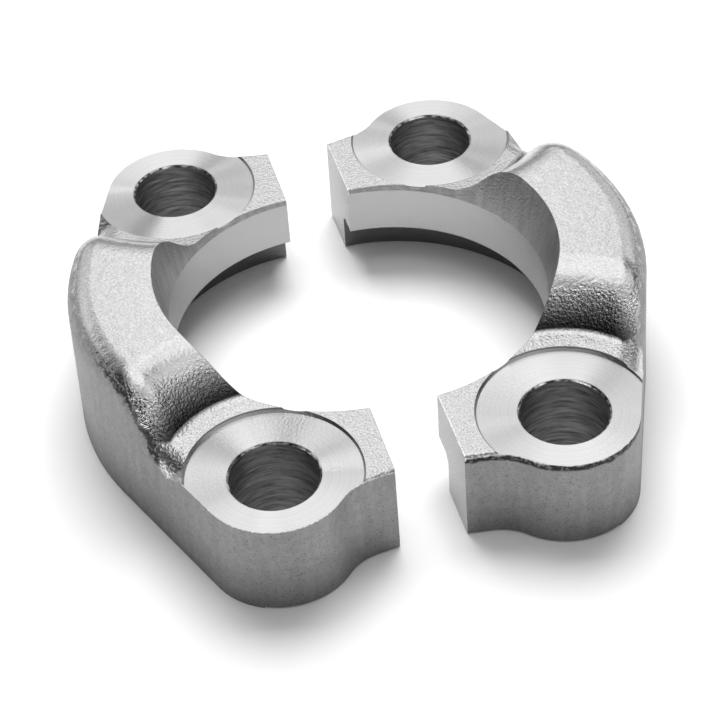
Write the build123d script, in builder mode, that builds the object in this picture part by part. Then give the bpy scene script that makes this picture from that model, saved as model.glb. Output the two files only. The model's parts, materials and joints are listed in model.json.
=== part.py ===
from build123d import *
import os
from math import acos, atan2, cos, degrees, hypot, radians, sin, sqrt, tan

# Split flange clamp for a 1 1/2 inch (DN 38) standard-pressure flange head: a pair of forged halves.
# Millimetres. X runs across the pair, Y along the bolt lines, Z up from the flat undersides.
# One half is modelled with its bore axis on Z and its end faces along Y, then placed twice.

# Shank bore, the forged hollow above it and the flange-head recess below it
bore_diameter = 51.5
bore_margin = 0.8  # the machined bore ends this far below the wings' faces
hollow_draft = 10.5  # the forged hollow above the bore widens upwards, degrees
recess_diameter = 61.3
recess_depth = 7.4
recess_corner = 1.2  # bevel left in the corner under the shoulder
recess_chamfer = 0.3

# Bolt holes and the turned seats of the bolt heads
bolt_spacing = 69.9  # between the two holes of one half
bolt_line = 17.85  # from the bore axis to the line of a half's holes
hole_diameter = 13.5
hole_chamfer = 0.3
seat_height = 15.9
seat_diameter = 26.9
seat_corner = 0.4  # bevel that the tool leaves round the seat

# Plan outline of one half at its underside
arch_wall = 10.8  # from the recess to the outermost wall of the arch
boss_wall = 4.9  # round a bolt hole, at the end of a lug
end_gap = 0.9  # from the bore axis to the flat end faces
wing_reach = 5.0  # an end face's outer corner lies this far past the hole, along the bolt line
wing_flare = 9.0  # the wing's side leans out from the end face, degrees
wing_blend = 8.0  # radius of the hollow between the wing and the round end
wall_draft = 1.5  # forging draft of the outer walls, degrees

# Heights of the forged faces
arch_height = 24.6
seat_depth = 0.75  # a lug's face stands above the seat, at the seat's rim beside the arch
wing_drop = 0.55  # and falls by this to the end face

# Slope between the arch and a lug, turned about the bolt hole
crest_lead = 1.1  # the arch's top starts to fall this far before its curved wall turns flat
crest_round = 9.0
slope_angle = 52.0  # steepest part, degrees
foot_round = 2.0
band_angle = 6.0  # the band between the seat and the slope rises outwards, degrees

# Edges
arch_round = 4.0  # outer top edge of the arch
lug_edge = 0.6
base_edge = 0.3  # bevel round the underside

# Where the halves lie as a set
pair_spacing = 44.2  # between the two hole lines
pair_stagger = 0.7  # the left half lies this much further along +Y than the right one

hole_y = bolt_spacing / 2
hole_radius = hole_diameter / 2
seat_radius = seat_diameter / 2
bore_radius = bore_diameter / 2
recess_radius = recess_diameter / 2
half_width = recess_radius + arch_wall
boss_radius = hole_radius + boss_wall
lug_height = seat_height + seat_depth
wing_height = lug_height - wing_drop
bore_top = wing_height - bore_margin
over_cut = 5.0  # how far a cutting tool runs past the material
hole = Vector(bolt_line, hole_y)

# Flat wall tangent to the arch's arc and to the boss, and the direction that it faces
wall_facing = atan2(hole_y, bolt_line) - acos((half_width - boss_radius) / hypot(bolt_line, hole_y))
wall_normal = Vector(cos(wall_facing), sin(wall_facing))
wall_turn = wall_normal * half_width

# Hollow beside the boss: its centre lies off the wing's side and touches the boss circle
flare = radians(wing_flare)
wing_along = Vector(cos(flare), sin(flare))
wing_corner = Vector(end_gap, hole_y + wing_reach)
blend_line = wing_corner + Vector(-sin(flare), cos(flare)) * wing_blend
from_hole = blend_line - hole
beside = from_hole.dot(wing_along)
beyond = from_hole.dot(from_hole) - (boss_radius + wing_blend) ** 2
run = -beside - sqrt(beside**2 - beyond)
blend_centre = blend_line + wing_along * run
boss_to_blend = (blend_centre - hole).normalized()
boss_end = hole + boss_to_blend * boss_radius
wing_end = wing_corner + wing_along * run
blend_mid = blend_centre + ((boss_end + wing_end) / 2 - blend_centre).normalized() * wing_blend
wing_start = wing_corner - wing_along * over_cut
boss_from = degrees(wall_facing)
boss_to = degrees(atan2(boss_to_blend.Y, boss_to_blend.X)) % 360

# Plan outline, run a little past the end faces
with BuildSketch() as outline:
    with BuildLine():
        CenterArc((0, 0), half_width, 0, boss_from)
        Line(wall_turn, hole + wall_normal * boss_radius)
        CenterArc(hole, boss_radius, boss_from, boss_to - boss_from)
        ThreePointArc(boss_end, blend_mid, wing_end)
        Line(wing_end, wing_start)
        Line(wing_start, (wing_start.X, 0))
        mirror(about=Plane.XZ)
    make_face()

# Slope profile: the foot arc touches the flank and the band, which passes through the seat's rim
steep = radians(slope_angle)
gentle = radians(band_angle)
flank_normal = Vector(-sin(steep), cos(steep))
band_normal = Vector(-sin(gentle), cos(gentle))
crest_start = Vector((wall_turn - hole).length - crest_lead, arch_height)
crest_centre = crest_start - Vector(0, crest_round)
flank_top = crest_centre + flank_normal * crest_round
crest_mid = crest_centre + (flank_normal + Vector(0, 1)).normalized() * crest_round
band_start = Vector(seat_radius, lug_height)
flank_level = flank_top.dot(flank_normal) + foot_round
band_level = band_start.dot(band_normal) + foot_round
foot_centre = Vector(
    (band_level * cos(steep) - flank_level * cos(gentle)) / sin(steep - gentle),
    (band_level * sin(steep) - flank_level * sin(gentle)) / sin(steep - gentle),
)
flank_foot = foot_centre - flank_normal * foot_round
band_end = foot_centre - band_normal * foot_round
foot_mid = foot_centre - (flank_normal + band_normal).normalized() * foot_round
band_inner = Vector(hole_radius / 2, lug_height - (seat_radius - hole_radius / 2) * tan(gentle))

# Tool that shapes the slope and the band round a hole
with BuildPart() as slope_tool:
    with BuildSketch(Plane.XZ):
        with BuildLine():
            Polyline(
                crest_start,
                crest_start + Vector(0, over_cut),
                (0, arch_height + over_cut),
                (0, band_inner.Y),
                band_inner,
                band_end,
            )
            ThreePointArc(band_end, foot_mid, flank_foot)
            Line(flank_foot, flank_top)
            ThreePointArc(flank_top, crest_mid, crest_start)
        make_face()
    revolve(axis=Axis.Z)

# Tool for a bolt hole with its edge breaks and the bolt head's seat
with BuildPart() as hole_tool:
    with BuildSketch(Plane.XZ):
        Polygon(
            (seat_radius - seat_corner, seat_height),
            (hole_radius + hole_chamfer, seat_height),
            (hole_radius, seat_height - hole_chamfer),
            (hole_radius, hole_chamfer),
            (hole_radius + hole_chamfer, 0),
            (hole_radius + hole_chamfer, -over_cut),
            (0, -over_cut),
            (0, arch_height + over_cut),
            (seat_radius, arch_height + over_cut),
            (seat_radius, seat_height + seat_corner),
            align=None,
        )
    revolve(axis=Axis.Z)

# Tool for the recess and the shank bore
with BuildPart() as bore_tool:
    with BuildSketch(Plane.XZ):
        Polygon(
            (recess_radius - recess_corner, recess_depth),
            (bore_radius, recess_depth),
            (bore_radius, bore_top),
            (0, bore_top),
            (0, -over_cut),
            (recess_radius + recess_chamfer, -over_cut),
            (recess_radius + recess_chamfer, 0),
            (recess_radius, recess_chamfer),
            (recess_radius, recess_depth - recess_corner),
            align=None,
        )
    revolve(axis=Axis.Z)

# Tool for the forged hollow above the bore
hollow_height = arch_height + over_cut - bore_top
hollow_radius = bore_radius + hollow_height * tan(radians(hollow_draft))
with BuildPart() as hollow_tool:
    with Locations((0, 0, bore_top)):
        Cone(bore_radius, hollow_radius, hollow_height, align=(Align.CENTER, Align.CENTER, Align.MIN))

# Upright planes through the bore axis and each hole, which face the arch
hole_planes = [
    Plane(origin=(0, 0, 0), x_dir=(0, 0, 1), z_dir=(hole_y, -bolt_line, 0)),
    Plane(origin=(0, 0, 0), x_dir=(0, 0, 1), z_dir=(hole_y, bolt_line, 0)),
]

# Arch between those planes, standing through the lugs' height
with BuildPart() as arch:
    add(outline.sketch)
    extrude(amount=arch_height, taper=wall_draft)
    with Locations((bolt_line, hole_y), (bolt_line, -hole_y)):
        add(slope_tool.part, mode=Mode.SUBTRACT)
    split(bisect_by=hole_planes[0])
    split(bisect_by=hole_planes[1])
    outer_faces = arch.faces().filter_by(lambda face: face.center().X > bolt_line + boss_radius)
    outer_walls = outer_faces.filter_by(lambda face: face.normal_at().Z < cos(steep) / 2)
    fillet(outer_walls.edges().filter_by(lambda edge: edge.bounding_box().min.Z > seat_height), arch_round)
    add(hollow_tool.part, mode=Mode.SUBTRACT)

# Tool that lowers the slab's corner from the seat's rim to the arch's rounded edge at the foot
rim_level = lug_height - lug_edge
fade_end = Vector(flank_foot.X, band_end.Y - arch_round)
fade = (rim_level - fade_end.Y) / (fade_end.X - seat_radius)
with BuildPart() as corner_tool:
    with BuildSketch(Plane.XZ):
        Polygon(
            (seat_radius - seat_depth, rim_level + seat_depth * fade),
            fade_end,
            (half_width, fade_end.Y),
            (half_width, arch_height),
            (seat_radius - seat_depth, arch_height),
            align=None,
        )
    revolve(axis=Axis.Z)
with BuildPart() as corners:
    with Locations((bolt_line, hole_y), (bolt_line, -hole_y)):
        add(corner_tool.part)
    split(bisect_by=hole_planes[0])
    split(bisect_by=hole_planes[1])

# One half: the lugs' slab with the arch on it, then the machined faces
wing_fall = wing_drop / (bolt_line - end_gap)
end_length = 2 * wing_corner.Y
with BuildPart() as half:
    add(outline.sketch)
    extrude(amount=lug_height, taper=wall_draft)
    with BuildSketch(Plane.XZ):
        Polygon(
            (bolt_line, lug_height),
            (-over_cut, lug_height - wing_fall * (bolt_line + over_cut)),
            (-over_cut, lug_height + over_cut),
            (bolt_line, lug_height + over_cut),
            align=None,
        )
    extrude(amount=end_length, both=True, mode=Mode.SUBTRACT)
    outer_edges = half.edges().filter_by(lambda edge: edge.center().X > 0)
    fillet(outer_edges.filter_by(lambda edge: edge.bounding_box().min.Z > seat_height / 2), lug_edge)
    base_edges = half.faces().sort_by(Axis.Z)[0].edges()
    chamfer(base_edges.filter_by(lambda edge: edge.center().X > 0), base_edge)
    add(hollow_tool.part, mode=Mode.SUBTRACT)
    add(corners.part, mode=Mode.SUBTRACT)
    add(arch.part)
    split(bisect_by=Plane.YZ.offset(end_gap), keep=Keep.TOP)
    add(bore_tool.part, mode=Mode.SUBTRACT)
    with Locations((bolt_line, hole_y), (bolt_line, -hole_y)):
        add(hole_tool.part, mode=Mode.SUBTRACT)

# The pair, lying open as two separate halves
half_shift = pair_spacing / 2 - bolt_line
with BuildPart() as left_half:
    with Locations(Location((-half_shift, pair_stagger / 2, 0), (0, 0, 180))):
        add(half.part)
with BuildPart() as right_half:
    with Locations((half_shift, -pair_stagger / 2, 0)):
        add(half.part)

os.makedirs("parts", exist_ok=True)
left_half.part.label = "left_half"
export_step(left_half.part, "parts/left_half.step")
right_half.part.label = "right_half"
export_step(right_half.part, "parts/right_half.step")
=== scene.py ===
import bpy
import json
import math
from mathutils import Matrix, Vector

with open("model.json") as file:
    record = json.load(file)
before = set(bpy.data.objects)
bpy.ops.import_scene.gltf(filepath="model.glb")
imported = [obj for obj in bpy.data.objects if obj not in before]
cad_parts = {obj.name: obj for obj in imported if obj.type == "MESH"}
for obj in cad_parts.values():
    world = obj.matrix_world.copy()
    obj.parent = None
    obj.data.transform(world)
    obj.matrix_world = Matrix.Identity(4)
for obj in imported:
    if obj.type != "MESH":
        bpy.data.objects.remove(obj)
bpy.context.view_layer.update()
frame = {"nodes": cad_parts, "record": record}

# Camera: the photograph's view of the pair, from the front and a little from the left, high up and
# turned slightly about its own axis.
MM = 0.001
aim = Vector((0.33, 0.83, 0.0)) * MM
distance = 367.3 * MM
turn = math.radians(-12.58)
elevation = math.radians(42.90)
roll = math.radians(-4.13)
camera_data = bpy.data.cameras.new("camera")
camera_data.sensor_width = 36.0
camera_data.lens = 111.65
camera = bpy.data.objects.new("camera", camera_data)
bpy.context.scene.collection.objects.link(camera)
facing = Matrix.Rotation(turn, 4, "Z") @ Matrix.Rotation(math.pi / 2 - elevation, 4, "X")
step_back = Matrix.Translation((0, 0, distance))
camera.matrix_world = Matrix.Translation(aim) @ facing @ step_back @ Matrix.Rotation(roll, 4, "Z")
bpy.context.scene.camera = camera
bpy.context.scene.view_settings.view_transform = "Standard"

# Floor: a white studio sheet under the pair. It shows white to the camera and in the metal, and still
# keeps the soft grey shadow of each half.
FLOOR_REACH = 1.5
FLOOR_COLOUR = 0.9
FLOOR_GLOW = 0.04


class Shading:
    """A material under construction. Each step adds nodes to it, takes numbers or the outputs of earlier
    steps, and gives back its own output."""

    def __init__(self, name):
        self.material = bpy.data.materials.new(name)
        self.material.use_nodes = True
        self.nodes = self.material.node_tree.nodes
        self.links = self.material.node_tree.links
        self.nodes.clear()

    def feed(self, socket, value):
        """Puts a number, colour or vector on a socket, or links another node's output to it."""
        if isinstance(value, bpy.types.NodeSocket):
            self.links.new(value, socket)
        else:
            socket.default_value = value

    def node(self, kind, **inputs):
        """Adds a node and gives back the node itself. Its inputs are named with _ for a space."""
        made = self.nodes.new(kind)
        for name, value in inputs.items():
            self.feed(made.inputs[name.replace("_", " ")], value)
        return made

    def math(self, operation, first, second=0.0):
        """One step of arithmetic on two numbers."""
        made = self.nodes.new("ShaderNodeMath")
        made.operation = operation
        self.feed(made.inputs[0], first)
        self.feed(made.inputs[1], second)
        return made.outputs[0]

    def times(self, first, *others):
        for other in others:
            first = self.math("MULTIPLY", first, other)
        return first

    def plus(self, first, *others):
        for other in others:
            first = self.math("ADD", first, other)
        return first

    def highest(self, first, *others):
        for other in others:
            first = self.math("MAXIMUM", first, other)
        return first

    def above(self, value, limit):
        """1 where value lies above the limit, else 0."""
        return self.math("GREATER_THAN", value, limit)

    def below(self, value, limit):
        """1 where value lies below the limit, else 0."""
        return self.math("LESS_THAN", value, limit)

    def between(self, value, low, high):
        """1 where value lies between low and high, else 0."""
        return self.times(self.above(value, low), self.below(value, high))

    def ramp(self, value, start, end, low=0.0, high=1.0):
        """Runs evenly from low to high while value goes from start to end, and stays level outside."""
        made = self.nodes.new("ShaderNodeMapRange")
        made.clamp = True
        for socket, number in zip(made.inputs, (value, start, end, low, high)):
            self.feed(socket, number)
        return made.outputs[0]

    def mix(self, factor, low, high):
        """Goes from one number to another by a factor from 0 to 1."""
        made = self.nodes.new("ShaderNodeMix")
        made.data_type = "FLOAT"
        self.feed(made.inputs[0], factor)
        self.feed(made.inputs[2], low)
        self.feed(made.inputs[3], high)
        return made.outputs[0]

    def length(self, first, second):
        """Length of the vector with these two sides."""
        size = self.nodes.new("ShaderNodeVectorMath")
        size.operation = "LENGTH"
        self.feed(size.inputs[0], self.node("ShaderNodeCombineXYZ", X=first, Y=second).outputs[0])
        return size.outputs["Value"]

    def grey(self, shade):
        """A neutral colour of this brightness."""
        return self.node("ShaderNodeCombineColor", Red=shade, Green=shade, Blue=shade).outputs[0]

    def finish(self, shader):
        """Links the finished shader to the surface."""
        output = self.nodes.new("ShaderNodeOutputMaterial")
        self.feed(output.inputs["Surface"], shader)
        return self.material


def studio_sheet():
    """Dull white paper with a faint glow that only the camera and mirroring surfaces see."""
    paper = Shading("white_studio_sheet")
    path = paper.node("ShaderNodeLightPath").outputs
    seen = paper.highest(path["Is Camera Ray"], path["Is Glossy Ray"], path["Is Transmission Ray"])
    dull = paper.node("ShaderNodeBsdfDiffuse", Color=(FLOOR_COLOUR, FLOOR_COLOUR, FLOOR_COLOUR, 1))
    glow = paper.node("ShaderNodeEmission", Strength=paper.times(seen, FLOOR_GLOW))
    both = paper.node("ShaderNodeAddShader")
    paper.feed(both.inputs[0], dull.outputs[0])
    paper.feed(both.inputs[1], glow.outputs[0])
    return paper.finish(both.outputs[0])


corners = [(x * FLOOR_REACH, y * FLOOR_REACH, 0.0) for x, y in ((-1, -1), (1, -1), (1, 1), (-1, 1))]
floor_mesh = bpy.data.meshes.new("floor")
floor_mesh.from_pydata(corners, [], [(0, 1, 2, 3)])
floor_mesh.materials.append(studio_sheet())
floor = bpy.data.objects.new("floor", floor_mesh)
bpy.context.scene.collection.objects.link(floor)

# Light: soft boxes stand from low behind the pair up over the top and down in front, and dimmer ones at
# the sides, for the metal to mirror. One overhead lamp, which isn't mirrored, lights the floor and gives
# it its shadows. The room is dim and even.
ROOM = 0.02

# Watts on a square metre of a box that make it as bright as pure white
WATTS_FOR_WHITE = 4.0

world = bpy.data.worlds.new("studio")
bpy.context.scene.world = world
world.use_nodes = True
world.node_tree.nodes["Background"].inputs["Color"].default_value = (1, 1, 1, 1)
world.node_tree.nodes["Background"].inputs["Strength"].default_value = ROOM


def soft_box(name, azimuth, height, reach, width, tall, brightness):
    """A rectangular lamp that faces the origin, reach metres from it. Azimuth is in degrees, 0 in front
    of the pair and 90 to its right, and height is in degrees above the floor. White has brightness 1."""
    lamp = bpy.data.lights.new(name, "AREA")
    lamp.shape = "RECTANGLE"
    lamp.size = width
    lamp.size_y = tall
    lamp.energy = brightness * WATTS_FOR_WHITE * width * tall
    box = bpy.data.objects.new(name, lamp)
    bpy.context.scene.collection.objects.link(box)
    round_z = Matrix.Rotation(math.radians(azimuth), 4, "Z")
    tilt = Matrix.Rotation(math.radians(90 - height), 4, "X")
    box.matrix_world = round_z @ tilt @ Matrix.Translation((0, 0, reach))
    return box


# Each box has its name, azimuth, height, reach, width, tall and brightness
for placed in (
    ("top_strip", 168, 80, 1.0, 0.8, 0.9, 0.95),
    ("top_soft_box", 168, 85, 1.1, 1.8, 0.7, 0.25),
    ("front_soft_box", 347, 66, 1.05, 1.4, 0.45, 0.50),
    ("front_dim_box", 347, 45, 1.05, 1.4, 0.30, 0.30),
):
    soft_box(*placed)

# The boxes behind, beside and low in front light only the metal
for placed in (
    ("back_strip", 168, 41, 1.05, 0.40, 0.80, 0.62),
    ("back_level_strip", 168, 42, 1.05, 2.5, 0.25, 0.50),
    ("back_low_box", 168, 12, 1.05, 1.4, 0.42, 0.25),
    ("back_soft_box", 168, 36, 1.05, 2.1, 0.90, 0.15),
    ("side_box_left", 210, 24, 1.05, 0.9, 0.6, 0.40),
    ("side_box_right", 126, 24, 1.05, 0.9, 0.6, 0.40),
    ("high_box_right", 72, 52, 1.05, 0.6, 0.5, 0.60),
    ("front_low_box", 35, 32, 1.05, 1.5, 0.5, 0.42),
):
    soft_box(*placed).visible_diffuse = False
soft_box("overhead_lamp", 167, 62, 1.0, 0.8, 0.6, 5.7).visible_glossy = False

# Halves: each is one steel forging, zinc plated all over. The forged skin is grainy, its trimmed edges
# are ragged. Bore, recess, end faces, bolt holes and bolt-head seats are machined. Sizes are in
# millimetres, and the left half is the right one, turned by half a turn.
mounts = {mount["name"]: mount for mount in frame["record"]["mounts"]}
bolts = mounts["right_bolts"]
bore = mounts["right_shank_bore"]
BOLT_LINE = (bolts["pos_m"][0] - bore["pos_m"][0]) / MM
HOLE_ALONG = bolts["dims"]["spacing_y_mm"] / 2
HOLE_RADIUS = bolts["dims"]["hole_r_mm"]
BORE_RADIUS = bore["dims"]["r_mm"]
BORE_TOP = 15.3
HOLLOW_WIDENS = math.tan(math.radians(10.5))
RECESS_RADIUS = mounts["right_head_recess"]["dims"]["r_mm"]
RECESS_DEPTH = 7.4
CHAMFER = 0.3
SEAT_HEIGHT = mounts["right_seat_near"]["pos_m"][2] / MM
SEAT_RADIUS = 13.45
END_GAP = 0.9
ARCH_WALL = 10.8
BOSS_WALL = 4.9

# How far a zone's limit is kept off the edge of its faces
SLACK = 0.03

# The arch's curved wall, and the direction that the flat walls beside it face, from across to along
HALF_WIDTH = RECESS_RADIUS + ARCH_WALL
BOSS_RADIUS = HOLE_RADIUS + BOSS_WALL
TO_HOLE = math.hypot(BOLT_LINE, HOLE_ALONG)
WALL_FACING = math.atan2(HOLE_ALONG, BOLT_LINE) - math.acos((HALF_WIDTH - BOSS_RADIUS) / TO_HOLE)

# The foot of the arch's slopes: its distance from the bolt hole's axis, and its height
FOOT_RADIUS = 16.4
FOOT_HEIGHT = 16.7

# Upward part of a face's normal: on the steep slopes, and where a face is almost level
STEEP = 0.62
LEVEL = 0.85

# Shade of each face's metal, from 0 for black to 1 for white. Some of them hold painted light or painted
# shade, as noted beside them.
# Walls: darker than the tops, partly for their duller finish and partly as painted shade
WALL_SHADE = 0.32
# Painted light: the rounding between top and wall is made lighter than the walls
PAINTED_LIGHT_ROUNDING_SHADE = 0.60
# Painted light: steep slopes and tilted lug faces are made lighter than the tops
PAINTED_LIGHT_SLOPE_SHADE = 0.85
ARCH_TOP_SHADE = 0.56
LUG_TOP_SHADE = 0.55
RIM_SHADE = 0.45
HOLLOW_SHADE = 0.37
BORE_SHADE = 0.45
# Painted shade: the recess is made nearly black
RECESS_PAINTED_SHADE = 0.16
END_SHADE = 0.46
SEAT_SHADE = 0.74


class ZincForging(Shading):
    """The finish of one half, in the half's own frame: across from the bore axis towards the arch, along
    the line of its bolt holes, and up from the underside. Zones are 1 on their faces and 0 elsewhere."""

    def __init__(self, side):
        super().__init__("zinc_plated_forging_" + side)
        self.left = side == "left"
        self.lay_out(mounts[side + "_shank_bore"]["pos_m"])
        self.find_machined_faces()
        self.find_forged_faces()
        streaks = self.grain(1.0, 2.0, 0.5, self.stretched((0.7, 0.7, 0.05)))
        self.streaks = self.plus(self.times(streaks, 0.35), 1.0)
        self.sparkle = self.plus(self.times(self.grain(3.4, 0.0), 0.42), 1.0)
        self.scores = self.grain(1.0, 3.0, 0.6, self.stretched((0.22, 0.22, 2.0)))

    def grain(self, scale, detail=2.0, rough=0.5, vector=None):
        """Even noise about 0, from about -0.5 to 0.5. Scale is in bumps per millimetre."""
        spot = vector or self.spot
        noise = self.node("ShaderNodeTexNoise", Vector=spot, Scale=scale, Detail=detail, Roughness=rough)
        return self.math("SUBTRACT", noise.outputs["Fac"], 0.5)

    def stretched(self, factors):
        """The spot with each of its three lengths multiplied by a factor."""
        return self.node("ShaderNodeMapping", Vector=self.spot, Scale=factors).outputs[0]

    def relief(self, height):
        """The normal of a surface with this height in millimetres."""
        return self.node("ShaderNodeBump", Distance=MM, Height=height).outputs["Normal"]

    def lay_out(self, bore_axis):
        """Finds each spot's place in the half, and its distances from bore, bolt line and bolt hole."""
        coordinates = self.node("ShaderNodeTexCoord").outputs
        way = -1 if self.left else 1
        into_half = self.node(
            "ShaderNodeMapping",
            Vector=coordinates["Object"],
            Location=(-way * bore_axis[0] / MM, -way * bore_axis[1] / MM, 0.0),
            Rotation=(0.0, 0.0, math.pi if self.left else 0.0),
            Scale=(1 / MM, 1 / MM, 1 / MM),
        )
        self.spot = into_half.outputs["Vector"]
        self.across, self.along, self.up = self.node("ShaderNodeSeparateXYZ", Vector=self.spot).outputs
        self.facing_up = self.node("ShaderNodeSeparateXYZ", Vector=coordinates["Normal"]).outputs["Z"]
        self.from_middle = self.math("ABSOLUTE", self.along)
        self.past_line = self.math("SUBTRACT", self.across, BOLT_LINE)
        self.past_hole = self.math("SUBTRACT", self.from_middle, HOLE_ALONG)
        self.from_hole = self.length(self.past_line, self.past_hole)
        self.from_bore = self.length(self.across, self.along)

    def find_machined_faces(self):
        """Zones of the turned, bored, drilled and milled faces, and of the hollow above the bore."""
        at_seat = self.between(self.up, SEAT_HEIGHT - 2 * SLACK, SEAT_HEIGHT + 2 * SLACK)
        self.seat = self.times(self.below(self.from_hole, SEAT_RADIUS - SLACK), at_seat)
        in_hole = self.below(self.from_hole, HOLE_RADIUS + CHAMFER + SLACK)
        self.hole = self.times(in_hole, self.below(self.up, SEAT_HEIGHT - SLACK))
        in_bore = self.below(self.from_bore, BORE_RADIUS + 2 * SLACK)
        self.bore = self.times(in_bore, self.between(self.up, RECESS_DEPTH - SLACK, BORE_TOP + SLACK))
        in_recess = self.below(self.from_bore, RECESS_RADIUS + CHAMFER)
        self.recess = self.times(in_recess, self.below(self.up, RECESS_DEPTH + SLACK))
        cone = self.math("SUBTRACT", self.from_bore, self.times(self.up, HOLLOW_WIDENS))
        in_hollow = self.below(cone, BORE_RADIUS - BORE_TOP * HOLLOW_WIDENS + 2 * SLACK)
        self.hollow = self.times(in_hollow, self.above(self.up, BORE_TOP + SLACK))
        self.end = self.below(self.across, END_GAP + SLACK)
        self.inner = self.highest(self.hole, self.bore, self.recess, self.end, self.hollow)

    def find_forged_faces(self):
        """Zones of the forged skin: what faces up, the arch with its slopes, the outer rounding."""
        self.forged = self.math("SUBTRACT", 1.0, self.highest(self.inner, self.seat))
        near_rim = self.between(self.from_hole, SEAT_RADIUS - 0.55, SEAT_RADIUS + 0.05)
        self.rim = self.times(near_rim, self.between(self.up, SEAT_HEIGHT + SLACK, SEAT_HEIGHT + 0.85))

        # How far a spot lies inside the outer wall: from the flat walls, or from the arch's curved wall
        facing_across = self.times(self.across, -math.cos(WALL_FACING))
        facing_along = self.times(self.from_middle, -math.sin(WALL_FACING))
        flat = self.plus(facing_across, facing_along)
        curved = self.times(self.from_bore, -1.0)
        beside_arch = self.below(self.from_middle, HALF_WIDTH * math.sin(WALL_FACING))
        self.from_wall = self.plus(self.mix(beside_arch, flat, curved), HALF_WIDTH)

        # The top ends at the ragged line along which the flash was trimmed off
        ragged = self.times(self.grain(0.9, 3.0), 0.35)
        trimmed = self.times(self.grain(0.55, 4.0, 0.65), 2.6)
        arch_trim = self.ramp(self.from_middle, 10.0, 22.0, -1.7, -1.2)
        lug_trim = self.ramp(self.from_middle, 24.0, 29.0, 0.0, 1.6)
        self.inside_trim = self.plus(self.from_wall, trimmed, arch_trim, lug_trim)
        upward = self.ramp(self.plus(self.facing_up, ragged), 0.20, 0.36)
        self.top = self.times(upward, self.ramp(self.inside_trim, 0.0, 0.5))

        beyond_foot = self.ramp(self.from_hole, FOOT_RADIUS, FOOT_RADIUS + 0.5)
        self.raised = self.times(beyond_foot, self.ramp(self.up, FOOT_HEIGHT, FOOT_HEIGHT + 0.3))
        turning_up = self.ramp(self.facing_up, 0.05, 0.45)
        by_wall = self.times(self.below(self.from_wall, 3.6), self.above(self.up, 14.5))
        self.rounding = self.times(turning_up, by_wall, self.forged)

    def skin(self):
        """Relief of all faces but the seats: pitted slopes, finer grain on top, scored holes."""
        slope_pits = self.ramp(self.facing_up, STEEP, LEVEL, 0.26, 0.022)
        foot_pits = self.ramp(self.up, FOOT_HEIGHT + 0.8, FOOT_HEIGHT + 2.8, 0.08, 0.0)
        off_wall = self.ramp(self.facing_up, 0.3, 0.6, 0.4, 1.0)
        arch_pits = self.times(self.highest(slope_pits, foot_pits), off_wall)
        lug_pits = self.ramp(self.facing_up, 0.6, 0.9, 0.22, 0.09)
        pits = self.mix(self.raised, lug_pits, arch_pits)
        waves = self.times(self.grain(0.30, 2.0), 0.08)
        bumps = self.times(self.grain(1.2, 1.0), 0.02)
        grainy = self.plus(waves, bumps, self.times(self.grain(2.4, 1.0), pits))
        smooth = self.times(self.grain(2.4, 1.0), 0.06)
        off_rim = self.math("SUBTRACT", 1.0, self.rim)
        height = self.mix(self.times(self.top, self.forged, off_rim), smooth, grainy)
        height = self.mix(self.hole, height, self.times(self.scores, 0.5))
        return self.relief(self.mix(self.end, height, self.times(self.grain(2.4, 1.0), 0.20)))

    def wall_shade(self):
        """Walls: dull, with dark specks and faint upright streaks. They are darker than the tops partly
        for their duller finish and partly as painted shade, and darker still towards the foot, a painted
        shade. Their rounding is made lighter, painted light.
        """
        cells = self.node("ShaderNodeTexVoronoi", Vector=self.spot, Scale=2.2, Randomness=1.0)
        speckled = self.plus(cells.outputs["Distance"], self.times(self.grain(3.0, 1.0), 0.35))
        mottled = self.plus(self.times(self.grain(0.8, 3.0), 0.40), 1.0)
        specks = self.times(self.ramp(speckled, 0.10, 0.36, 0.62, 1.0), mottled)
        # Painted light: the rounding is lighter than the walls though its metal is the same
        plain = self.mix(self.rounding, WALL_SHADE, PAINTED_LIGHT_ROUNDING_SHADE)
        # Painted shade: the walls darken towards the foot, where the floor's shadow lies
        return self.times(specks, self.streaks, plain, self.ramp(self.up, 0.0, 9.0, 0.72, 1.0))

    def top_shade(self):
        """Forged faces that look up. The steep slopes and tilted lug faces are made lighter, painted
        light, and the slopes darken towards their foot, a painted shade.
        """
        # Painted shade: the slopes darken towards their foot
        foot = self.ramp(self.from_hole, FOOT_RADIUS + 0.5, FOOT_RADIUS + 4.2, 0.18, 1.0)
        slope_to_top = self.ramp(self.facing_up, STEEP, LEVEL, PAINTED_LIGHT_SLOPE_SHADE, ARCH_TOP_SHADE)
        arch = self.times(slope_to_top, foot, foot)
        # Painted shade: one end of the left half's arch is made darker than on the right half
        if self.left:
            arch = self.times(arch, self.ramp(self.along, -20.0, -13.0, 0.72, 1.0))
        lug = self.ramp(self.facing_up, 0.5, 0.9, PAINTED_LIGHT_SLOPE_SHADE, LUG_TOP_SHADE)
        return self.times(self.sparkle, self.mix(self.raised, lug, arch))

    def with_edges(self, shade):
        """Adds the marks along the forged edges: dark burrs where the flash was trimmed off, frayed
        corners, a dark line round the upper edge of one lug, and the rim that the seats' tool left."""
        thinner = self.ramp(self.along, 5.0, 22.0, -0.3, 0.15)
        off_line = self.math("SUBTRACT", self.math("ABSOLUTE", self.inside_trim), thinner)
        burr = self.times(self.ramp(off_line, 0.1, 0.35, 1.0, 0.0), self.rounding, 0.85)
        shade = self.mix(burr, shade, self.ramp(self.grain(1.8, 2.0), 0.08, 0.25, 0.03, 0.5))

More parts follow.
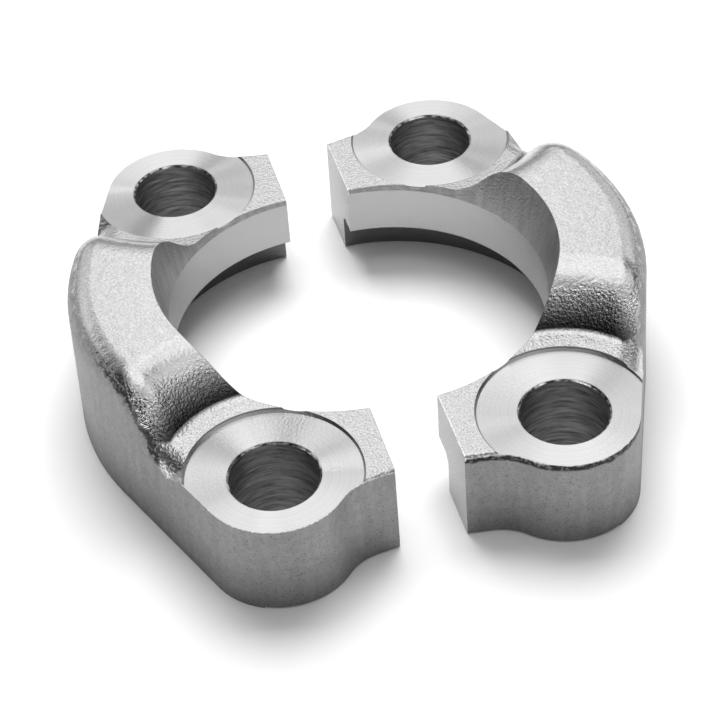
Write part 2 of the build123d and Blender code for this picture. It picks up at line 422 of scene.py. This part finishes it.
        tilted = self.between(self.facing_up, 0.12, 0.93)
        off_seat = self.between(self.from_hole, SEAT_RADIUS + 0.25, 40.0)
        wing = self.times(self.below(self.up, 16.5), self.below(self.across, 12.0))
        by_seat = self.below(self.from_hole, SEAT_RADIUS - 0.05)
        lip = self.times(by_seat, self.between(self.up, SEAT_HEIGHT - 0.2, SEAT_HEIGHT + 0.05))
        frayed = self.times(self.highest(self.times(off_seat, tilted, wing), lip), self.forged)
        shade = self.mix(frayed, shade, self.ramp(self.grain(2.0, 2.0), -0.1, 0.15, 0.35, 1.0))

        height = self.plus(self.up, self.times(self.grain(0.8, 3.0), 1.2))
        line = self.times(self.ramp(height, 14.55, 14.85), self.ramp(height, 15.5, 15.8, 1.0, 0.0))
        on_lug = self.times(self.below(self.along, -29.5), self.below(self.facing_up, 0.5), self.forged)
        dark = self.ramp(self.grain(1.6, 2.0), 0.0, 0.25, 0.04, 0.25)
        shade = self.mix(self.times(line, on_lug), shade, dark)
        return self.mix(self.times(self.rim, self.below(self.facing_up, 0.9)), shade, RIM_SHADE)

    def with_machined_faces(self, shade):
        """Adds the shades of hollow, bore, bolt holes with their burred mouths, recess and end faces.
        The hollow's upright streaks are painted reflections, the recess's near black is painted shade,
        and a painted highlight runs along the end face's edge.
        """
        # Painted reflection: the hollow's upright streaks stand in for the soft reflections in its
        # machined cone
        shade = self.mix(self.hollow, shade, self.times(self.streaks, self.streaks, HOLLOW_SHADE))
        shade = self.mix(self.bore, shade, BORE_SHADE)
        shade = self.mix(self.hole, shade, self.ramp(self.scores, -0.25, 0.25, 0.10, 0.65))
        mouth = self.times(self.hole, self.above(self.up, SEAT_HEIGHT - CHAMFER - 0.05))
        shade = self.mix(mouth, shade, self.ramp(self.grain(0.9, 2.0), -0.10, 0.15, 0.08, 0.9))
        # Painted shade: the recess is nearly black, for the shadow it lies in
        shade = self.mix(self.recess, shade, RECESS_PAINTED_SHADE)
        shade = self.mix(self.end, shade, self.times(self.sparkle, END_SHADE))

        # Painted highlight along the edge between the end face and the wing's top, brighter on the right
        # half
        at_edge = self.between(self.across, END_GAP + SLACK, END_GAP + 0.22)
        painted_edge_highlight = self.times(at_edge, self.above(self.up, 15.2), self.ramp(self.grain(0.8, 2.0), -0.2, 0.0))
        return self.mix(painted_edge_highlight, shade, 0.55 if self.left else 0.78)

    def body(self):
        """The whole half but its seats."""
        shade = self.mix(self.top, self.wall_shade(), self.top_shade())
        shade = self.with_machined_faces(self.with_edges(shade))
        rough_top = self.mix(self.raised, self.ramp(self.facing_up, 0.5, 0.9, 0.38, 0.25), 0.25)
        rough = self.mix(self.top, self.mix(self.rounding, 0.52, 0.8), rough_top)
        return self.node(
            "ShaderNodeBsdfPrincipled",
            Base_Color=self.grey(shade),
            Roughness=self.mix(self.inner, rough, 0.38),
            Metallic=1.0,
            Normal=self.skin(),
        )

    def turned_seat(self):
        """The tool's rings run round the hole, so light spreads outwards from it in fans. A slight wave
        round the hole, another one on each seat, makes the fans uneven."""
        ring_spot = self.node("ShaderNodeCombineXYZ", X=self.times(self.from_hole, 3.5)).outputs[0]
        rings = self.plus(self.times(self.grain(1.0, 3.0, 0.7, ring_spot), 0.35), SEAT_SHADE)
        side = self.math("SIGN", self.along)
        sideways = self.times(self.past_hole, side)
        bearing = self.node(
            "ShaderNodeCombineXYZ",
            X=self.math("DIVIDE", self.past_line, self.from_hole),
            Y=self.math("DIVIDE", sideways, self.from_hole),
            Z=self.times(side, 3.0 if self.left else 7.5),
        )
        wave = self.times(self.grain(0.6, 0.0, 0.5, bearing.outputs[0]), self.from_hole, 0.42)
        return self.node(
            "ShaderNodeBsdfPrincipled",
            Base_Color=self.grey(rings),
            Roughness=0.34,
            Metallic=1.0,
            Anisotropic=1.0,
            Normal=self.relief(self.plus(wave, self.times(self.grain(2.4, 1.0), 0.03))),
            Tangent=self.node("ShaderNodeCombineXYZ", X=self.past_line, Y=sideways).outputs[0],
        )

    def build(self):
        """Joins the seats' finish to that of the other faces."""
        both = self.node("ShaderNodeMixShader")
        self.feed(both.inputs[0], self.seat)
        self.feed(both.inputs[1], self.body().outputs[0])
        self.feed(both.inputs[2], self.turned_seat().outputs[0])
        return self.finish(both.outputs[0])


for side in ("left", "right"):
    half = frame["nodes"][side + "_half"]
    half.data.materials.clear()
    half.data.materials.append(ZincForging(side).build())
